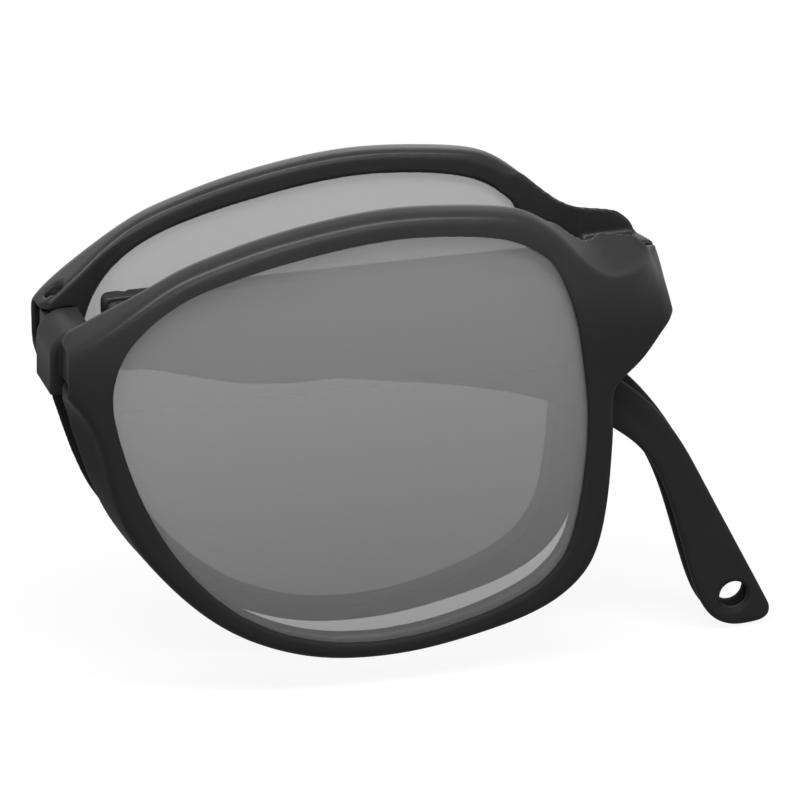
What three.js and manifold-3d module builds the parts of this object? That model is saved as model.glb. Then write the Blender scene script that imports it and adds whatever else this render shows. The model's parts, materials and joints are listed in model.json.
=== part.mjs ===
// Folding laser safety glasses, shown folded flat: two tinted lenses in two moulded half frames that fold
// back to back on a two-pin bridge link, each with a two-part temple folded between them.
// Millimetres, +Z up. X runs from the bridge to the end pieces, and the half frames are mirror images in Y.
import * as THREE from "three";
import { mergeVertices } from "three/addons/utils/BufferGeometryUtils.js";
import Module from "manifold-3d";

const wasm = await Module();
wasm.setup();

// Lens and rim
const lensWidth = 52.4;
const lensHeight = 48.3;
const lensThickness = 1.8;
const noseReach = 4.7; // from the bridge end of a half frame to its lens opening
const lensDrop = 0.75; // lens middle below the height that the rim's tilt turns about
const rimDepth = 3.5;
const rimBand = 2.6; // face of the rim above the lens; the stations below give the rest as multiples of it
const noseFlare = 2; // how far the nose side spreads towards the back
const rimFrontRound = 1.2;
const rimBackRound = 0.7;
const rimInnerRound = 0.3;
const grooveDepth = 0.9;
const grooveInset = 0.7; // front face to the groove that holds the lens
const tiltDegrees = 4.2; // each front leans out at the top
const frontOffset = 8.6; // middle plane to the front face, at the lens middle

// Bridge: a link with a pin at each end
const bridgeTop = 12.2;
const bridgeSlope = 4; // rise of the top edge from the bridge end to the lens
const bridgeFoot = 9;
const bridgeTrim = 0.8; // cut off to square the bridge end
const noseSweep = 5; // drop from the bridge end to the nose side
const bridgeDepth = 5;
const bridgeWrap = 0.04; // how fast the bridge end curves back
const bridgeWrapStart = 5.5;
const bridgePinX = 2;
const bridgePinY = 5.6;
const bridgeLugRadius = 2;
const linkTongueRadius = 1.6;
const linkTongueBottom = 8.8;
const linkTongueHeight = 4;
const linkBodyBottom = 6.5;
const linkBodyHeight = 7.3;
const linkBodyWidth = 3.7;
const linkProud = 0.85; // how much further the body's outer face stands out
const linkRound = 2.9;
const bridgePinRadius = 0.75;
const bridgePinTop = 14;
const bridgePinBottom = 7;

// End piece, where a temple is hinged
const endReach = 10.9; // past the lens opening
const endLength = 7.2; // of the deep part that holds the hinge
const endTop = 15.6;
const endRise = 3.6; // how far its top climbs towards the middle plane
const endRamp = 6.3; // along the rim, to reach the full depth
const endBack = 3.3; // middle plane to the back of its upper part
const endShelf = 15.4; // top of the lower part, which runs back to the middle plane
const endSoft = 2.4; // front edge there, as a multiple of the rim's
const endFoot = 4.4;
const endCorner = 8;
const endRound = 1.6;
const endWrap = 0.045; // how fast the end piece curves back
const endWrapInset = 11; // from its outer end to where that curve starts

// Temple arm, the half that is hinged to the end piece
const armThickness = 1.9;
const armTop = 15.6;
const armBelly = 4.3;
const armCorner = 1;
const armNeck = 9.3; // narrow part in front of the end piece's outer end
const armShoulder = 4.5;
const armMidGap = 0.4; // arm to the middle plane
const templePinInset = 5; // from the end piece's outer end
const templeKnuckleRadius = 1.85;
const templeKnuckleBottom = 8;
const templeKnuckleHeight = 5;
const templePinRadius = 0.7;
const templePinOverlap = 1.4; // how far a pin runs into each lug of the end piece

// Temple tip, the half that goes behind the ear
const tipThickness = 2;
const tipRound = 0.7;
const tipEndShare = 0.7; // thickness left at the end of the hook
const tipPinX = 8.2;
const tipKnuckleRadius = 1.8;
const tipKnuckleBottom = 10.3;
const tipKnuckleHeight = 2.6;
const tipEndSetback = 2.3; // pin to the square end of the tip
const tipPinRadius = 0.65;
const tipPinBottom = 8.9;
const tipPinTop = 14.6;
const tipRootTop = 14.3;
const tipRootBottom = 8.95;
const tipMiddleBottom = 4.7;
const hookInset = 11.5; // from the end piece's outer end to where the tip bends down
const hookTop = 4.3;
const hookReach = 22.55;
const hookDrop = 34.25;
const hookMidGap = 0.15; // hook end to the middle plane, as the tips bend in behind the ear
const cordHoleRadius = 1.6;
const cordHoleEase = 0.3;

// Clearances and edges
const running = 0.3; // between pieces that move on each other
const pinSlack = 0.25; // around a pin in its hole
const seat = 0.25; // around a lens in its groove
const edgeRound = 0.4;

// Facets
const rimSteps = 3; // from one station of the rim to the next
const roundSteps = 24;

const black = { color: 0x2b2b2b, roughness: 0.55, metalness: 0 };
const steel = { color: 0xb9bcc0, roughness: 0.3, metalness: 1 };
const tint = { color: 0x8d8d8d, roughness: 0.08, metalness: 0, transparent: true, opacity: 0.82 };

// Places worked out from the sizes above
const tilt = THREE.MathUtils.degToRad(tiltDegrees);
const lensMiddle = noseReach + lensWidth / 2;
const endX = noseReach + lensWidth + endReach;
const endPieceX = endX - endLength;
const endWrapStart = endX - endWrapInset;
const templePinX = endX - templePinInset;
const hookX = endX - hookInset;
const armOuter = -armMidGap;
const armInner = armOuter - armThickness;
const hingeY = armInner - running / 2;
const tipOuter = armInner - running;
const tipInner = tipOuter - tipThickness;
const linkBodyEnd = bridgePinY - bridgeLugRadius - running;
const grooveBack = grooveInset + lensThickness + 2 * seat;

function solid(geometry) {
  const bare = geometry.clone();
  bare.deleteAttribute("normal");
  bare.deleteAttribute("uv");
  const merged = mergeVertices(bare, 1e-4);
  const shape = new wasm.Mesh({
    numProp: 3,
    vertProperties: new Float32Array(merged.attributes.position.array),
    triVerts: new Uint32Array(merged.index.array),
  });
  return new wasm.Manifold(shape);
}

function surface(body) {
  const shape = body.getMesh();
  const geometry = new THREE.BufferGeometry();
  geometry.setAttribute("position", new THREE.BufferAttribute(shape.vertProperties, 3));
  geometry.setIndex(new THREE.BufferAttribute(shape.triVerts, 1));
  return geometry;
}

// The other half of the glasses: Y changes sign and each triangle is turned round again
function mirrored(geometry) {
  const copy = geometry.clone().scale(1, -1, 1);
  const index = copy.index.array;
  for (let i = 0; i < index.length; i += 3) {
    [index[i + 1], index[i + 2]] = [index[i + 2], index[i + 1]];
  }
  return copy;
}

function block(x0, x1, y0, y1, z0, z1) {
  const geometry = new THREE.BoxGeometry(x1 - x0, y1 - y0, z1 - z0);
  return geometry.translate((x0 + x1) / 2, (y0 + y1) / 2, (z0 + z1) / 2);
}

function upright(x, y, radius, z0, z1) {
  const geometry = new THREE.CylinderGeometry(radius, radius, z1 - z0, roundSteps);
  return geometry.rotateX(Math.PI / 2).translate(x, y, (z0 + z1) / 2);
}

// A flat piece cut from a side view (x to the right, z up), with rounded edges
function plate(shape, y0, y1, round = edgeRound, steps = 6, facets = 2) {
  const geometry = new THREE.ExtrudeGeometry(shape, {
    depth: y1 - y0 - 2 * round,
    bevelEnabled: true,
    bevelThickness: round,
    bevelSize: round,
    bevelOffset: -round,
    bevelSegments: facets,
    curveSegments: steps,
  });
  return geometry.rotateX(Math.PI / 2).translate(0, y1 - round, 0);
}

// Lens opening and outer edge of a rim, point for point from the hinge over the top to the nose and back.
// A lens point is a share of the lens's half width and height; the edge lies a band outside it or at a place
const rimStations = [
  { lens: [1, -0.09], band: 1.23 },
  { lens: [0.992, 0.122], band: 1.38 },
  { lens: [0.977, 0.259], place: [endX - 0.38 * endReach, endFoot + 0.3], deep: 1 },
  { lens: [0.962, 0.38], place: [endX - 0.14 * endReach, endCorner - 0.75 * endRound], deep: 1, steps: 2 },
  { lens: [0.95, 0.46], place: [endX, endCorner], deep: 1, steps: 2 },
  { lens: [0.93, 0.55], place: [endX - 0.2 * endReach, endTop - endRound], deep: 1, rise: 1, soft: 1 },
  { lens: [0.91, 0.62], place: [endX - 0.3 * endReach, endTop], deep: 1, rise: 1.2, soft: 1, steps: 6 },
  {
    lens: [0.843, 0.785], place: [endX - 0.83 * endReach, endTop + endRound / 2], deep: 1, rise: 1, steps: 5,
  },
  { lens: [0.77, 0.862], band: 1.1, steps: 2 },
  { lens: [0.676, 0.925], band: 1.12 },
  { lens: [0.469, 0.979], band: 1 },
  { lens: [0.13, 1], band: 1 },
  { lens: [-0.282, 0.938], band: 1 },
  { lens: [-0.55, 0.867], band: 0.92, steps: 2 },
  { lens: [-0.695, 0.81], band: 0.92 },
  { lens: [-0.836, 0.71], place: [0.9 * noseReach, bridgeTop + bridgeSlope] },
  { lens: [-0.95, 0.569], place: [-bridgeTrim, bridgeTop] },
  { lens: [-1, 0.379], place: [-bridgeTrim, bridgeFoot], flare: 0.3 },
  { lens: [-0.973, 0.168], place: [0.55 * noseReach, bridgeFoot - noseSweep], flare: 1 },
  { lens: [-0.851, -0.217], band: 1.23, flare: 0.4 },
  { lens: [-0.672, -0.549], band: 1.04 },
  { lens: [-0.427, -0.814], band: 0.92 },
  { lens: [-0.134, -0.963], band: 0.85 },
  { lens: [0.172, -1], band: 0.81 },
  { lens: [0.473, -0.954], band: 0.88 },
  { lens: [0.782, -0.822], band: 1.19 },
  { lens: [0.905, -0.685], band: 1.38 },
  { lens: [0.962, -0.495], band: 1.35 },
];

function lensPoint(station) {
  const [x, z] = station.lens;
  return new THREE.Vector3(lensMiddle + x * lensWidth / 2, 0, z * lensHeight / 2 - lensDrop);
}

function closedCurve(points) {
  return new THREE.CatmullRomCurve3(points, true, "centripetal");
}

const lensCurve = closedCurve(rimStations.map(lensPoint));

const rimShares = rimStations.flatMap((station, i) => {
  const steps = station.steps ?? rimSteps;
  return Array.from({ length: steps }, (_, step) => (i + step / steps) / rimStations.length);
});

// Square to the lens opening, in the plane of the rim and away from the lens
function outward(share) {
  const along = lensCurve.getTangent(share);
  return new THREE.Vector3(along.z, 0, -along.x);
}

const edgeCurve = closedCurve(rimStations.map((station, i) => {
  if (station.place) return new THREE.Vector3(station.place[0], 0, station.place[1]);
  return lensPoint(station).addScaledVector(outward(i / rimStations.length), station.band * rimBand);
}));
// Numbers that run round the rim with the outline: how far its back spreads past its front, the share of the
// end piece's depth, the softness of the front edge and the climb of the end piece's top
const extraCurve = closedCurve(rimStations.map((station, i) => {
  return new THREE.Vector3(noseFlare * (station.flare ?? 0), i, station.deep ?? 0);
}));
const endCurve = closedCurve(rimStations.map((station, i) => {
  const soft = THREE.MathUtils.lerp(1, endSoft, station.soft ?? 0);
  return new THREE.Vector3(soft, i, endRise * (station.rise ?? 0));
}));

// Leans a point of the upright rim (y counted back from its front face) into its place
function leaned(x, y, z) {
  const back = y * Math.cos(tilt) - z * Math.sin(tilt) - frontOffset;
  return [x, back, z * Math.cos(tilt) + y * Math.sin(tilt)];
}

function leanedGeometry(geometry) {
  const position = geometry.attributes.position;
  for (let i = 0; i < position.count; i += 1) {
    position.setXYZ(i, ...leaned(position.getX(i), position.getY(i), position.getZ(i)));
  }
  return geometry;
}

// The front curves back along the end piece, and the back runs on to the middle plane there and to the link's
// depth at the bridge
function rimFront(x) {
  const toEnd = endWrap * Math.max(0, x - endWrapStart) ** 2;
  return toEnd + bridgeWrap * Math.max(0, bridgeWrapStart - x) ** 2;
}

function rimBack(x, deep) {
  const toBridge = 1 - THREE.MathUtils.smoothstep(x, 0.65 * bridgeWrapStart, 1.65 * bridgeWrapStart);
  const plain = rimFront(x) + rimDepth + toBridge * (bridgeDepth - rimDepth);
  return THREE.MathUtils.lerp(plain, frontOffset + 2, deep);
}

// Section of the rim: distance out from the lens opening, depth behind the front face, and whether the point
// goes with the front or with the back
function rimSection(width, flare, soft) {
  const front = Math.min(rimFrontRound * soft, width / 2);
  const back = Math.min(rimBackRound, width / 2);
  const across = [];
  for (const share of [0.33, 0.67]) across.push(THREE.MathUtils.lerp(grooveDepth, width - front, share));
  const points = [[0, rimInnerRound], [rimInnerRound, 0], [across[0], 0], [across[1], 0], [width - front, 0]];
  for (const angle of [30, 60, 90]) {
    const turn = THREE.MathUtils.degToRad(angle);
    points.push([width - front + front * Math.sin(turn), front - front * Math.cos(turn)]);
  }
  const rear = [[width + flare, rimDepth - back], [width + flare - 0.3 * back, rimDepth - 0.3 * back]];
  rear.push([width + flare - back, rimDepth], [across[1], rimDepth], [across[0], rimDepth]);
  rear.push([rimInnerRound, rimDepth], [0, rimDepth - rimInnerRound]);
  const groove = [[0, grooveBack], [grooveDepth, grooveBack], [grooveDepth, grooveInset], [0, grooveInset]];
  const marked = (list, behind) => list.map(([out, depth]) => ({ out, depth, behind }));
  const side = [1 / 3, 2 / 3].map((behind) => {
    const depth = THREE.MathUtils.lerp(front, rimDepth - back, behind);
    return { out: width + flare * behind, depth, behind };
  });
  return [...marked(points, 0), ...side, ...marked(rear, 1), ...marked(groove, 0)];
}

function rimRing() {
  const positions = [];
  let count = 0;
  for (const share of rimShares) {
    const inner = lensCurve.getPoint(share);
    const outer = edgeCurve.getPoint(share);
    const across = outer.clone().sub(inner);
    const width = across.length();
    const extra = extraCurve.getPoint(share).clampScalar(0, rimStations.length);
    const atEnd = endCurve.getPoint(share);
    const section = rimSection(width, extra.x, atEnd.x);
    across.divideScalar(width);
    count = section.length;
    const square = outward(share);
    for (const { out, depth, behind } of section) {
      const way = out > grooveDepth ? across : square;
      const x = inner.x + way.x * out;
      const z = inner.z + way.z * out + behind * Math.max(0, atEnd.z) * out / width;
      const back = rimBack(x, Math.min(1, extra.z)) - rimDepth;
      positions.push(...leaned(x, depth + THREE.MathUtils.lerp(rimFront(x), back, behind), z));
    }
  }
  const index = [];
  for (let i = 0; i < rimShares.length; i += 1) {
    const next = (i + 1) % rimShares.length;
    for (let j = 0; j < count; j += 1) {
      const beside = (j + 1) % count;
      const corner = [i * count + j, next * count + j, next * count + beside, i * count + beside];
      index.push(corner[0], corner[2], corner[1], corner[0], corner[3], corner[2]);
    }
  }
  const geometry = new THREE.BufferGeometry();
  geometry.setAttribute("position", new THREE.Float32BufferAttribute(positions, 3));
  geometry.setIndex(index);
  return geometry;
}

// Half frame: the ring, trimmed flat at the bridge end and at the middle plane, with its two hinge slots
function halfFrame(pinFromTop) {
  const far = 60;
  const pinY = -bridgePinY;
  let body = solid(rimRing());
  const cut = (geometry) => {
    body = body.subtract(solid(geometry));
  };
  cut(block(-far, 0, -far, far, -far, far));
  cut(block(-far, 2 * far, -armMidGap, far, -far, far));
  // Behind the rim the end piece stops short of the lens: square where the tip passes, and with a ramp above
  const rampZ = templeKnuckleBottom - endRound;
  cut(leanedGeometry(block(lensMiddle, endPieceX, rimDepth, far, endFoot - 2 * endRound, rampZ)));
  const ramp = new THREE.Shape();
  ramp.moveTo(lensMiddle, rimDepth);
  ramp.lineTo(endPieceX - endRamp, rimDepth);
  ramp.quadraticCurveTo(endPieceX - endRamp / 2, rimDepth, endPieceX, frontOffset);
  ramp.lineTo(endPieceX, far);
  ramp.lineTo(lensMiddle, far);
  const above = new THREE.ExtrudeGeometry(ramp, { depth: far, bevelEnabled: false, curveSegments: 8 });
  cut(leanedGeometry(above.translate(0, 0, rampZ)));
  cut(block(endPieceX - endRamp, 2 * far, -endBack, far, endShelf, far));
  cut(block(-far, bridgeWrapStart, -linkBodyEnd - running, far, -far, far));
  // Rounded lugs, so that the link can turn from behind the half frame to its end
  const corner = solid(block(-1, bridgePinX, pinY, 0, -far, far));
  body = body.subtract(corner.subtract(solid(upright(bridgePinX, pinY, bridgeLugRadius, -far, far))));
  const tongueGap = linkTongueRadius + running;
  const tongueZ = [linkTongueBottom - running, linkTongueBottom + linkTongueHeight + running];
  cut(block(-1, bridgePinX, pinY - tongueGap, pinY, ...tongueZ));
  cut(block(-1, bridgePinX + tongueGap, pinY, 0, ...tongueZ));
  cut(upright(bridgePinX, pinY, tongueGap, ...tongueZ));
  const holeTop = pinFromTop ? far : bridgePinTop + pinSlack;
  cut(upright(bridgePinX, pinY, bridgePinRadius + pinSlack, bridgePinBottom - pinSlack, holeTop));
  // Slot and pin hole for the temple
  const knuckleGap = templeKnuckleRadius + running;
  const knuckleZ = [templeKnuckleBottom - running, templeKnuckleBottom + templeKnuckleHeight + running];
  cut(block(endWrapStart, templePinX + knuckleGap, hingeY, 0, ...knuckleZ));
  cut(block(endWrapStart, templePinX, hingeY - knuckleGap, hingeY, ...knuckleZ));
  cut(upright(templePinX, hingeY, knuckleGap, ...knuckleZ));
  cut(upright(templePinX, hingeY, templePinRadius + pinSlack, ...templePinReach(pinSlack)));
  return surface(body);
}

function templePinReach(extra) {
  const low = templeKnuckleBottom - running - templePinOverlap - extra;
  return [low, templeKnuckleBottom + templeKnuckleHeight + running + templePinOverlap + extra];
}

// Lens: the opening's outline carried into the groove, with its edge eased
function lens() {
  const reach = grooveDepth - seat;
  const outline = [];
  for (const share of rimShares.filter((_, i) => i % 2 === 0)) {
    const point = lensCurve.getPoint(share).addScaledVector(outward(share), reach);
    outline.push(new THREE.Vector2(point.x, point.z));
  }
  const y0 = grooveInset + seat;
  const geometry = plate(new THREE.Shape(outline), y0, y0 + lensThickness, seat, 1, 1);
  return surface(solid(leanedGeometry(geometry)));
}

// Link: round tongues on the two pins, and a deeper body between the half frames with a rounded crest
function bridgeLink() {
  const side = linkTongueRadius;
  const tongueTop = linkTongueBottom + linkTongueHeight;
  const left = bridgePinX - linkBodyWidth / 2 - linkProud;
  const right = bridgePinX + linkBodyWidth / 2;
  const top = linkBodyBottom + linkBodyHeight;
  const crest = new THREE.Shape();
  crest.moveTo(right, linkBodyBottom);
  crest.lineTo(right, top);
  crest.lineTo(left + linkRound, top);
  crest.absarc(left + linkRound, top - linkRound, linkRound, Math.PI / 2, Math.PI, false);
  crest.lineTo(left, linkBodyBottom);
  let body = solid(plate(crest, -linkBodyEnd, linkBodyEnd, edgeRound, 8));
  for (const y of [-bridgePinY, bridgePinY]) {
    const root = Math.sign(y) * (linkBodyEnd - linkTongueRadius / 2);
    const [y0, y1] = [Math.min(y, root), Math.max(y, root)];
    body = body.add(solid(block(bridgePinX - side, bridgePinX + side, y0, y1, linkTongueBottom, tongueTop)));
    body = body.add(solid(upright(bridgePinX, y, side, linkTongueBottom, tongueTop)));
    const hole = upright(bridgePinX, y, bridgePinRadius + pinSlack, linkTongueBottom - 1, tongueTop + 1);
    body = body.subtract(solid(hole));
  }
  return surface(body);
}

// Temple arm: a broad bar with a belly, a round knuckle in the end piece and two at the folding joint
function templeArm() {
  const end = tipPinX - tipEndSetback + running / 2;
  const neck = endX - armNeck;
  const neckLow = templeKnuckleBottom;
  const neckHigh = templeKnuckleBottom + templeKnuckleHeight;
  const along = (share) => THREE.MathUtils.lerp(end, neck, share);
  const shoulder = neck - armShoulder / 2;
  const side = new THREE.Shape();
  side.moveTo(end, tipPinBottom - running);
  side.bezierCurveTo(along(0.13), tipPinBottom - armCorner, along(0.23), armBelly, along(0.4), armBelly);
  side.bezierCurveTo(along(0.68), armBelly, along(0.9), (neckLow + armBelly) / 2, neck, neckLow);
  side.lineTo(templePinX, neckLow);
  side.lineTo(templePinX, neckHigh);
  side.lineTo(neck, neckHigh);
  side.bezierCurveTo(shoulder, neckHigh, shoulder, armTop, neck - armShoulder, armTop);
  side.lineTo(end + armCorner, armTop);
  side.quadraticCurveTo(end, armTop, end, armTop - armCorner);
  let body = solid(plate(side, armInner, armOuter, edgeRound, 7));
  body = body.add(solid(upright(templePinX, hingeY, templeKnuckleRadius, neckLow, neckHigh)));
  body = body.add(solid(upright(tipPinX, hingeY, tipKnuckleRadius, tipPinBottom, tipPinTop)));
  const gap = tipKnuckleRadius + running;
  const low = tipKnuckleBottom - running;
  const high = tipKnuckleBottom + tipKnuckleHeight + running;
  body = body.subtract(solid(upright(tipPinX, hingeY, gap, low, high)));
  body = body.subtract(solid(block(end - 1, tipPinX, hingeY, 0, low, high)));
  body = body.subtract(solid(upright(tipPinX, hingeY, tipPinRadius + pinSlack, 0, armTop + 1)));
  body = body.subtract(solid(upright(templePinX, hingeY, templePinRadius + pinSlack, 0, armTop + 1)));
  return surface(body);
}

// Temple tip: a bar that drops behind the ear, with a square end, one knuckle and a hole for a neck cord
function templeTip() {
  const end = tipPinX + tipEndSetback;
  const on = (across, down) => [hookX + across * hookReach, hookTop - down * hookDrop];
  const side = new THREE.Shape();
  side.moveTo(end, tipRootBottom);
  side.lineTo(hookX - hookReach, tipMiddleBottom);
  side.bezierCurveTo(...on(-0.48, 0.04), ...on(-0.02, 0.1), ...on(0.294, 0.294));
  side.bezierCurveTo(...on(0.463, 0.403), ...on(0.509, 0.555), ...on(0.573, 0.715));
  side.bezierCurveTo(...on(0.61, 0.809), ...on(0.633, 0.864), ...on(0.665, 0.906));
  side.bezierCurveTo(...on(0.711, 0.967), ...on(0.775, 0.997), ...on(0.867, 1));
  side.lineTo(...on(0.936, 0.997));
  side.bezierCurveTo(...on(1, 0.994), ...on(1.032, 0.967), ...on(1, 0.927));
  side.lineTo(...on(0.683, 0.5));
  side.bezierCurveTo(...on(0.583, 0.355), ...on(0.399, 0.088), ...on(0, 0));
  side.lineTo(end, tipRootTop);
  const toMiddle = -hookMidGap - tipOuter;
  const along = (x) => THREE.MathUtils.smoothstep(x, hookX, hookX + hookReach);
  const share = (x) => THREE.MathUtils.lerp(1, tipEndShare, along(x));
  const bar = plate(side, tipInner, tipOuter, tipRound, 7);
  const position = bar.attributes.position;
  for (let i = 0; i < position.count; i += 1) {
    const x = position.getX(i);
    position.setY(i, tipOuter + (position.getY(i) - tipOuter) * share(x) + toMiddle * along(x));
  }
  let body = solid(bar);
  const [holeX, holeZ] = on(0.83, 0.894);
  const half = tipThickness * share(holeX) / 2;
  const wide = cordHoleRadius + 2 * cordHoleEase;
  const outside = half + cordHoleEase;
  const flank = [[cordHoleRadius, half - cordHoleEase], [wide, outside], [0, outside]];
  const cutter = flank.map(([r, y]) => new THREE.Vector2(r, y));
  for (const [r, y] of flank) cutter.unshift(new THREE.Vector2(r, -y));
  const holeY = tipOuter - half + toMiddle * along(holeX);
  body = body.subtract(solid(new THREE.LatheGeometry(cutter, roundSteps).translate(holeX, holeY, holeZ)));
  const high = tipKnuckleBottom + tipKnuckleHeight;
  body = body.add(solid(upright(tipPinX, hingeY, tipKnuckleRadius, tipKnuckleBottom, high)));
  const strapY = [tipInner + edgeRound, tipOuter - edgeRound];
  const strap = block(tipPinX, end + 2 * edgeRound, ...strapY, tipKnuckleBottom, high);
  body = body.add(solid(strap));
  const gap = tipKnuckleRadius + running;
  body = body.subtract(solid(upright(tipPinX, hingeY, gap, 0, tipKnuckleBottom)));
  body = body.subtract(solid(upright(tipPinX, hingeY, gap, high, armTop + 1)));
  body = body.subtract(solid(upright(tipPinX, hingeY, tipPinRadius + pinSlack, 0, armTop + 1)));
  return surface(body);
}

// A plain pin with eased ends
function pin(x, y, radius, z0, z1) {
  const ease = radius / 4;
  const lower = [[0, z0], [radius - ease, z0], [radius, z0 + ease]];
  const upper = [[radius, z1 - ease], [radius - ease, z1], [0, z1]];
  const points = [...lower, ...upper].map(([r, z]) => new THREE.Vector2(r, z));
  const geometry = new THREE.LatheGeometry(points, roundSteps / 2);
  return surface(solid(geometry.rotateX(Math.PI / 2).translate(x, y, 0)));
}

const glasses = new THREE.Group();

function add(name, geometry, finish) {
  const piece = new THREE.Mesh(geometry, new THREE.MeshStandardMaterial(finish));
  piece.name = name;
  glasses.add(piece);
}

// The wearer's left half faces the viewer; the right half is its mirror image behind it
const halves = [
  { side: "left", turn: (geometry) => geometry, pinFromTop: false },
  { side: "right", turn: mirrored, pinFromTop: true },
];
for (const { side, turn, pinFromTop } of halves) {
  add(`${side}_rim`, turn(halfFrame(pinFromTop)), black);
  add(`${side}_lens`, turn(lens()), tint);
  add(`${side}_temple_arm`, turn(templeArm()), black);
  add(`${side}_temple_tip`, turn(templeTip()), black);
  const bridgePin = pin(bridgePinX, -bridgePinY, bridgePinRadius, bridgePinBottom, bridgePinTop);
  add(`${side}_bridge_pin`, turn(bridgePin), steel);
  add(`${side}_temple_pin`, turn(pin(templePinX, hingeY, templePinRadius, ...templePinReach(0))), steel);
  add(`${side}_tip_pin`, turn(pin(tipPinX, hingeY, tipPinRadius, tipPinBottom, tipPinTop)), steel);
}
add("bridge_link", bridgeLink(), black);

// The origin is the middle of the folded pair
const middle = new THREE.Box3().setFromObject(glasses).getCenter(new THREE.Vector3());
glasses.position.copy(middle).negate();

export default glasses;
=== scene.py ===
import json
import math

import bpy
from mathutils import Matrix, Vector

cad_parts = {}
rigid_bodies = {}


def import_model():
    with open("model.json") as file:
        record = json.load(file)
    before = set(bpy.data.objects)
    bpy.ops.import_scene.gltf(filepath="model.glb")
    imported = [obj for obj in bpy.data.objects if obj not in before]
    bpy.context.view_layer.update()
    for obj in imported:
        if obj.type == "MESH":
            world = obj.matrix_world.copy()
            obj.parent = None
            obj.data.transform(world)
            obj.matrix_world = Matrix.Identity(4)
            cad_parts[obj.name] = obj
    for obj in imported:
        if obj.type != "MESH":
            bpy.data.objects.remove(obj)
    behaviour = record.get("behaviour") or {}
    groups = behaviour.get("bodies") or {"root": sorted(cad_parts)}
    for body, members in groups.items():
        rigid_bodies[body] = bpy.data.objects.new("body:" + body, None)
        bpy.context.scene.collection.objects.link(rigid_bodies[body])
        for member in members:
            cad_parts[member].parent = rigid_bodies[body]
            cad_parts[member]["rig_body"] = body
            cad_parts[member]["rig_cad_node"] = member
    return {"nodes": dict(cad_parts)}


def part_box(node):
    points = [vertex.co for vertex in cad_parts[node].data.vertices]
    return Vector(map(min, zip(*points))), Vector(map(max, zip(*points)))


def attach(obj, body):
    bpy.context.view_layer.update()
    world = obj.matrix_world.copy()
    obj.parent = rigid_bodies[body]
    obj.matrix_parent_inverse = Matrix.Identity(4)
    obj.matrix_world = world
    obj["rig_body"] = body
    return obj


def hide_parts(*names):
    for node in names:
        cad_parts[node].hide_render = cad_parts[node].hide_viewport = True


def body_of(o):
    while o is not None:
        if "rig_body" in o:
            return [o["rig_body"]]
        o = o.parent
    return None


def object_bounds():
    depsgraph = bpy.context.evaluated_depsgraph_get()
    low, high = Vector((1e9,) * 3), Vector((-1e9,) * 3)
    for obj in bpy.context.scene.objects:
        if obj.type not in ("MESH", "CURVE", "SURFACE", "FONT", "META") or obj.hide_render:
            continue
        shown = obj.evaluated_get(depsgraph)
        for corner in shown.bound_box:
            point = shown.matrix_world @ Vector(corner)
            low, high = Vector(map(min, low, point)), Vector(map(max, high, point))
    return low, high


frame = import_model()
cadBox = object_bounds()
print("frame loaded:", len(frame["nodes"]), "nodes")


# shader helpers

class Wire:
    # one output socket; arithmetic on it adds Math nodes

    def __init__(self, finish, socket):
        self.finish = finish
        self.socket = socket

    def reckon(self, operation, first, second):
        return self.finish.node("ShaderNodeMath", {"operation": operation}, {0: first, 1: second})[0]

    def __radd__(self, other):
        return self.reckon("ADD", other, self)

    def __sub__(self, other):
        return self.reckon("SUBTRACT", self, other)

    def __mul__(self, other):
        return self.reckon("MULTIPLY", self, other)


class Finish:
    # a node tree that is being filled, for a material or the world

    def __init__(self, tree):
        self.tree = tree
        tree.nodes.clear()

    def node(self, kind, settings=None, sockets=None):
        made = self.tree.nodes.new(kind)
        for key, value in (settings or {}).items():
            setattr(made, key, value)
        for key, value in (sockets or {}).items():
            if isinstance(value, Wire):
                self.tree.links.new(value.socket, made.inputs[key])
            else:
                made.inputs[key].default_value = value
        return [Wire(self, out) for out in made.outputs]


def newMaterial(name):
    material = bpy.data.materials.new(name)
    material.use_nodes = True
    return material, Finish(material.node_tree)


def grey(level):
    return (level, level, level, 1)


# matte black moulding: spark grain, cloudy sheen, and a painted highlight, a glossy coat that grows with height
mouldingLook = {"dark": 0.0172, "light": 0.0222, "roughness": 0.58, "specular": 0.03,
                "cloud": 0.08, "cloudScale": 170, "cloudDetail": 3, "cloudBreak": 0.55,
                "grainScale": 4200, "grainDetail": 2, "grainBreak": 0.6, "grainStrength": 0.12, "grainHeight": 0.00004,
                "paintedSheen": 0.36, "paintedSheenLeast": 0.8, "paintedSheenVary": 0.4, "paintedSheenRoughness": 0.3,
                "paintedSheenLow": 0.008, "paintedSheenHigh": 0.021}


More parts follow.
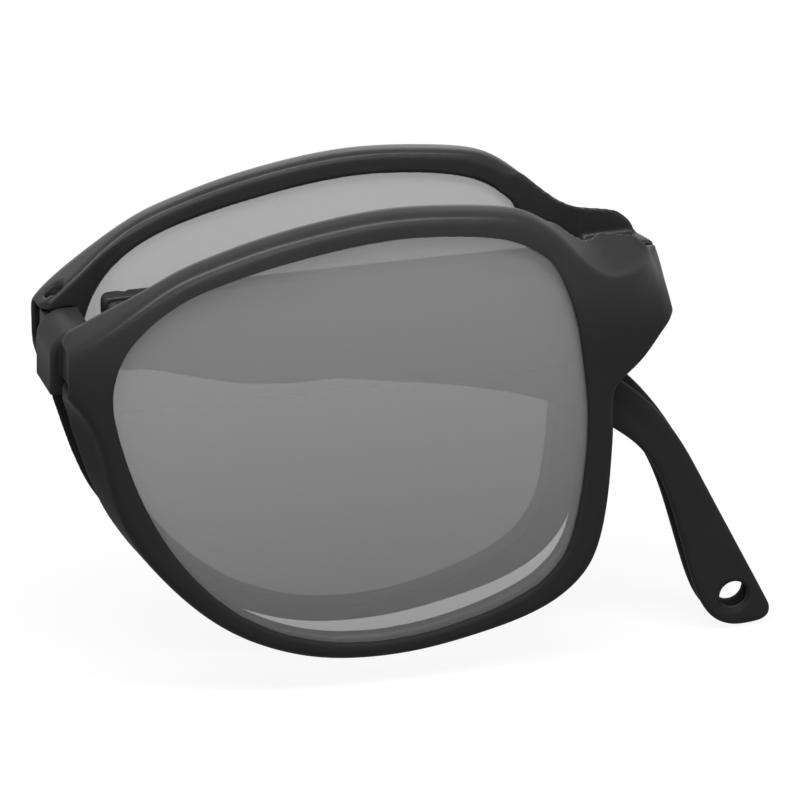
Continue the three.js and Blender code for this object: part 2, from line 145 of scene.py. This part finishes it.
def mouldedPlastic(look):
    material, paint = newMaterial("mouldedPlastic")
    place = paint.node("ShaderNodeTexCoord")[3]
    cloud = paint.node("ShaderNodeTexNoise", None,
                       {"Vector": place, "Scale": look["cloudScale"], "Detail": look["cloudDetail"],
                        "Roughness": look["cloudBreak"]})[0]
    grain = paint.node("ShaderNodeTexNoise", None,
                       {"Vector": place, "Scale": look["grainScale"], "Detail": look["grainDetail"],
                        "Roughness": look["grainBreak"]})[0]
    colour = paint.node("ShaderNodeMix", {"data_type": "RGBA"},
                        {0: cloud, 6: grey(look["dark"]), 7: grey(look["light"])})[2]
    roughness = look["roughness"] + (cloud - 0.5) * look["cloud"]
    height = paint.node("ShaderNodeSeparateXYZ", None, {0: place})[2]
    # painted highlight: the coat weight rises with height, so upper faces catch highlights and lower faces stay dark
    sheenByHeight = paint.node("ShaderNodeMapRange", {"interpolation_type": "SMOOTHSTEP"},
                      {0: height, 1: look["paintedSheenLow"], 2: look["paintedSheenHigh"], 3: 0, 4: look["paintedSheen"]})[0]
    paintedSheen = sheenByHeight * (look["paintedSheenLeast"] + cloud * look["paintedSheenVary"])
    bump = paint.node("ShaderNodeBump", None, {"Strength": look["grainStrength"], "Distance": look["grainHeight"],
                                               "Height": grain})[0]
    shader = paint.node("ShaderNodeBsdfPrincipled", None,
                        {"Base Color": colour, "Roughness": roughness, "Normal": bump,
                         "Specular IOR Level": look["specular"], "Coat Weight": paintedSheen,
                         "Coat Roughness": look["paintedSheenRoughness"]})[0]
    paint.node("ShaderNodeOutputMaterial", None, {0: shader})
    return material


# grey filter: partly see-through, with painted light making it a shade lighter towards the top, with faint wiping
# marks
filterLook = {"top": 0.365, "foot": 0.18, "low": -0.0235, "high": 0.018, "alpha": 0.52, "roughness": 0.2,
              "specular": 0.2, "smear": 0.05, "smearScale": 60, "smearDetail": 4, "smearDraw": (1, 1, 5)}


def filterLens(look):
    material, paint = newMaterial("filterLens")
    place = paint.node("ShaderNodeTexCoord")[3]
    height = paint.node("ShaderNodeSeparateXYZ", None, {0: place})[2]
    # painted light: the tint is lighter at the top and darker at the foot, standing in for light falling from above
    share = paint.node("ShaderNodeMapRange", None,
                       {0: height, 1: look["low"], 2: look["high"], 3: 0, 4: 1})[0]
    colour = paint.node("ShaderNodeMix", {"data_type": "RGBA"},
                        {0: share, 6: grey(look["foot"]), 7: grey(look["top"])})[2]
    drawn = paint.node("ShaderNodeMapping", None, {"Vector": place, "Scale": look["smearDraw"]})[0]
    smear = paint.node("ShaderNodeTexNoise", None, {"Vector": drawn, "Scale": look["smearScale"],
                                                    "Detail": look["smearDetail"]})[0]
    roughness = look["roughness"] + (smear - 0.5) * look["smear"]
    shader = paint.node("ShaderNodeBsdfPrincipled", None,
                        {"Base Color": colour, "Roughness": roughness, "Alpha": look["alpha"],
                         "Specular IOR Level": look["specular"]})[0]
    paint.node("ShaderNodeOutputMaterial", None, {0: shader})
    return material


# plain steel pins, turned, so the fine lines run round them
steelLook = {"dark": 0.42, "light": 0.6, "roughness": 0.3, "lineScale": 9000, "lineDetail": 2,
             "lineDraw": (0.02, 0.02, 1), "lineVary": 0.2}


def turnedSteel(look):
    material, paint = newMaterial("turnedSteel")
    place = paint.node("ShaderNodeTexCoord")[3]
    drawn = paint.node("ShaderNodeMapping", None, {"Vector": place, "Scale": look["lineDraw"]})[0]
    lines = paint.node("ShaderNodeTexNoise", None, {"Vector": drawn, "Scale": look["lineScale"],
                                                    "Detail": look["lineDetail"]})[0]
    colour = paint.node("ShaderNodeMix", {"data_type": "RGBA"},
                        {0: lines, 6: grey(look["dark"]), 7: grey(look["light"])})[2]
    roughness = look["roughness"] + (lines - 0.5) * look["lineVary"]
    shader = paint.node("ShaderNodeBsdfPrincipled", None,
                        {"Base Color": colour, "Roughness": roughness, "Metallic": 1})[0]
    paint.node("ShaderNodeOutputMaterial", None, {0: shader})
    return material


plastic = mouldedPlastic(mouldingLook)
lensTint = filterLens(filterLook)
steel = turnedSteel(steelLook)
print("finishes ready")


# pieces

def bodyOf(node):
    return body_of(frame["nodes"][node])[0]


def copyOf(node, name):
    bpy.ops.object.select_all(action="DESELECT")
    source = frame["nodes"][node]
    source.select_set(True)
    bpy.context.view_layer.objects.active = source
    bpy.ops.object.duplicate()
    piece = bpy.context.view_layer.objects.active
    piece.name = name
    piece.data.name = name
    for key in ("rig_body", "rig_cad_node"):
        del piece[key]
    bpy.ops.object.parent_clear(type="CLEAR_KEEP_TRANSFORM")
    bpy.ops.object.mode_set(mode="EDIT")
    bpy.ops.mesh.select_all(action="SELECT")
    bpy.ops.mesh.remove_doubles(threshold=2e-6)
    bpy.ops.object.mode_set(mode="OBJECT")
    return piece


def applied(piece, kind, **settings):
    modifier = piece.modifiers.new(kind.title(), kind)
    for key, value in settings.items():
        setattr(modifier, key, value)
    bpy.context.view_layer.objects.active = piece
    bpy.ops.object.modifier_apply(modifier=modifier.name)


def dressed(piece, node, material):
    piece.data.materials.clear()
    piece.data.materials.append(material)
    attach(piece, bodyOf(node))
    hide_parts(node)


mouldings = {
    "rims": {"nodes": ("left_rim", "right_rim"), "levels": 2, "cell": 0.0002, "passes": 8},
    "temples": {"nodes": ("left_temple_arm", "right_temple_arm", "left_temple_tip", "right_temple_tip"),
                "levels": 2, "cell": 0.00016, "passes": 4},
    "link": {"nodes": ("bridge_link",), "levels": 0, "cell": 0.00011, "passes": 4},
}
faired = {"quads": 40, "sharp": 35, "smooth": 0.5, "lipReach": 0.0013, "lipShare": 0.2}


def softened(piece, levels):
    # rounds the facets of the solid, and keeps its sharp edges
    bpy.ops.object.mode_set(mode="EDIT")
    bpy.ops.mesh.select_all(action="SELECT")
    bpy.ops.mesh.tris_convert_to_quads(face_threshold=math.radians(faired["quads"]),
                                       shape_threshold=math.radians(faired["quads"]))
    bpy.ops.mesh.select_all(action="DESELECT")
    bpy.ops.mesh.select_mode(type="EDGE")
    bpy.ops.mesh.edges_select_sharp(sharpness=math.radians(faired["sharp"]))
    bpy.ops.transform.edge_crease(value=1)
    bpy.ops.object.mode_set(mode="OBJECT")
    if levels:
        applied(piece, "SUBSURF", levels=levels, render_levels=levels)


def lipKept(piece, lens):
    # the thin lip round the lens is smoothed less than the rest
    body = piece.vertex_groups.new(name="body")
    lip = [vertex.index for vertex in piece.data.vertices
           if lens.closest_point_on_mesh(vertex.co, distance=faired["lipReach"])[0]]
    body.add(range(len(piece.data.vertices)), 1, "REPLACE")
    body.add(lip, faired["lipShare"], "REPLACE")
    return body.name


for group, settings in mouldings.items():
    for node in settings["nodes"]:
        piece = copyOf(node, node + "_moulding")
        softened(piece, settings["levels"])
        applied(piece, "REMESH", mode="VOXEL", voxel_size=settings["cell"], adaptivity=0)
        weights = lipKept(piece, frame["nodes"][node.replace("rim", "lens")]) if group == "rims" else ""
        applied(piece, "SMOOTH", factor=faired["smooth"], iterations=settings["passes"], vertex_group=weights)
        piece.vertex_groups.clear()
        bpy.ops.object.shade_smooth()
        dressed(piece, node, plastic)
        print(node, len(piece.data.polygons), "faces")
    print(group, "done")

lensSettings = {"flat": 0.02, "smooth": 12}

for node in ("left_lens", "right_lens"):
    piece = copyOf(node, node + "_filter")
    bpy.ops.object.mode_set(mode="EDIT")
    bpy.ops.mesh.select_all(action="SELECT")
    bpy.ops.mesh.dissolve_limited(angle_limit=lensSettings["flat"])
    bpy.ops.mesh.quads_convert_to_tris(ngon_method="BEAUTY")
    bpy.ops.object.mode_set(mode="OBJECT")
    bpy.ops.object.shade_smooth_by_angle(angle=math.radians(lensSettings["smooth"]))
    dressed(piece, node, lensTint)
print("lenses done")

pinSettings = {"sides": 48, "ease": 0.0002, "steps": 3, "smooth": 40}

for side in ("left", "right"):
    for joint in ("bridge", "temple", "tip"):
        node = side + "_" + joint + "_pin"
        low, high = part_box(node)
        middle = (low + high) / 2
        bpy.ops.object.select_all(action="DESELECT")
        bpy.ops.mesh.primitive_cylinder_add(vertices=pinSettings["sides"], radius=(high.x - low.x) / 2,
                                            depth=high.z - low.z, location=middle)
        piece = bpy.context.object
        piece.name = node + "_turned"
        bpy.ops.object.transform_apply(location=True, rotation=True, scale=True)
        applied(piece, "BEVEL", width=pinSettings["ease"], segments=pinSettings["steps"], limit_method="ANGLE")
        bpy.ops.object.shade_smooth_by_angle(angle=math.radians(pinSettings["smooth"]))
        dressed(piece, node, steel)
print("pins done")


# stage

stageSettings = {"size": 3, "drop": 0.0002, "white": 0.98, "bounce": 0.32, "shadow": 0.1}


def whiteSeen(paint):
    path = paint.node("ShaderNodeLightPath")
    seen = paint.node("ShaderNodeMath", {"operation": "MAXIMUM"}, {0: path[0], 1: path[3]})[0]
    return paint.node("ShaderNodeMath", {"operation": "MAXIMUM"}, {0: seen, 1: path[6]})[0]


def floorWhite(settings):
    material, paint = newMaterial("floorWhite")
    seen = whiteSeen(paint)
    colour = paint.node("ShaderNodeMix", {"data_type": "RGBA"},
                        {0: seen, 6: grey(settings["bounce"]), 7: grey(settings["white"])})[2]
    lit = paint.node("ShaderNodeBsdfDiffuse", None, {"Color": colour})[0]
    bright = paint.node("ShaderNodeEmission", None, {"Color": grey(1), "Strength": 1})[0]
    share = seen * (1 - settings["shadow"])
    shader = paint.node("ShaderNodeMixShader", None, {0: share, 1: lit, 2: bright})[0]
    paint.node("ShaderNodeOutputMaterial", None, {0: shader})
    return material


bpy.ops.object.select_all(action="DESELECT")
bpy.ops.mesh.primitive_plane_add(size=stageSettings["size"],
                                 location=(0, 0, cadBox[0].z - stageSettings["drop"]))
floor = bpy.context.object
floor.name = "floor"
floor.data.materials.append(floorWhite(stageSettings))

worldSettings = {"light": 0.22}
world = bpy.data.worlds.new("studio")
bpy.context.scene.world = world
world.use_nodes = True
sky = Finish(world.node_tree)
strength = worldSettings["light"] + whiteSeen(sky) * (1 - worldSettings["light"])
backdrop = sky.node("ShaderNodeBackground", None, {"Color": grey(1), "Strength": strength})[0]
sky.node("ShaderNodeOutputWorld", None, {0: backdrop})

lamps = {
    "topLamp": {"place": (-0.12, -0.3, 0.74), "size": (1.0, 0.2), "watts": 8.5},
    "frontLamp": {"place": (-0.02, -0.75, 0.42), "size": (0.5, 0.5), "watts": 2.5},
    "backLamp": {"place": (0.1, 0.8, 0.12), "size": (0.5, 0.5), "watts": 1.5},
}
for name, lamp in lamps.items():
    bpy.ops.object.light_add(type="AREA", location=lamp["place"])
    light = bpy.context.object
    light.name = name
    light.data.shape = "RECTANGLE"
    light.data.size, light.data.size_y = lamp["size"]
    light.data.energy = lamp["watts"]
    light.rotation_euler = (-Vector(lamp["place"])).to_track_quat("-Z", "Y").to_euler()
print("stage lit")


# camera at the photograph's angle, far off, so the view is nearly flat

cameraSettings = {"azimuth": -15, "elevation": 24, "distance": 3, "target": (-0.00074, 0.00019, 0.002),
                  "span": 0.0853, "sensor": 36, "near": 0.01, "far": 10}
azimuth = math.radians(cameraSettings["azimuth"])
elevation = math.radians(cameraSettings["elevation"])
back = Vector((math.sin(azimuth) * math.cos(elevation), -math.cos(azimuth) * math.cos(elevation),
               math.sin(elevation)))
bpy.ops.object.camera_add(location=Vector(cameraSettings["target"]) + back * cameraSettings["distance"])
camera = bpy.context.object
camera.rotation_euler = (-back).to_track_quat("-Z", "Y").to_euler()
camera.data.sensor_width = cameraSettings["sensor"]
camera.data.lens = cameraSettings["sensor"] * cameraSettings["distance"] / cameraSettings["span"]
camera.data.clip_start = cameraSettings["near"]
camera.data.clip_end = cameraSettings["far"]
bpy.context.scene.camera = camera
bpy.context.scene.view_settings.view_transform = "Standard"
print("camera set")
